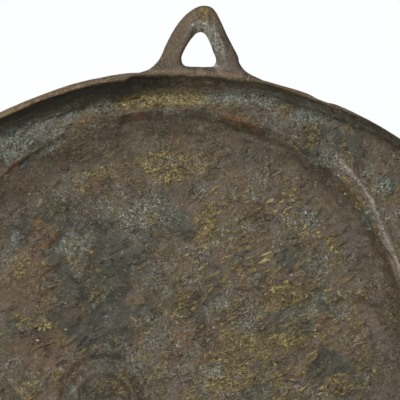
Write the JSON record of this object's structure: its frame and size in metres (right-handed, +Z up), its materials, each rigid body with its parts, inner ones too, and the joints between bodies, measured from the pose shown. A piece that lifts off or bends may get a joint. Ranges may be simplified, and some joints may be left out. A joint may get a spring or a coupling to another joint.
{
  "type": "relief plaque",
  "caption": "Round cast-bronze portrait plaque with a moulded border, a hollow back and a cast loop for hanging.",
  "frame": {"origin": "top of the hole in the hanging loop, where the nail bears, in the plane of the wall", "axes": "+Z up as it hangs, +Y into the wall, so the modelled front faces -Y, +X to the right of the front"},
  "size_m": [0.18, 0.0218, 0.1949],
  "materials": {
    "cast_bronze": "sand-cast bronze with an aged brown patina, rubbed brassy on what stands up and green in the recesses"
  },
  "bodies": {
    "root": {"plaque": "cast_bronze"}
  },
  "joints": []
}
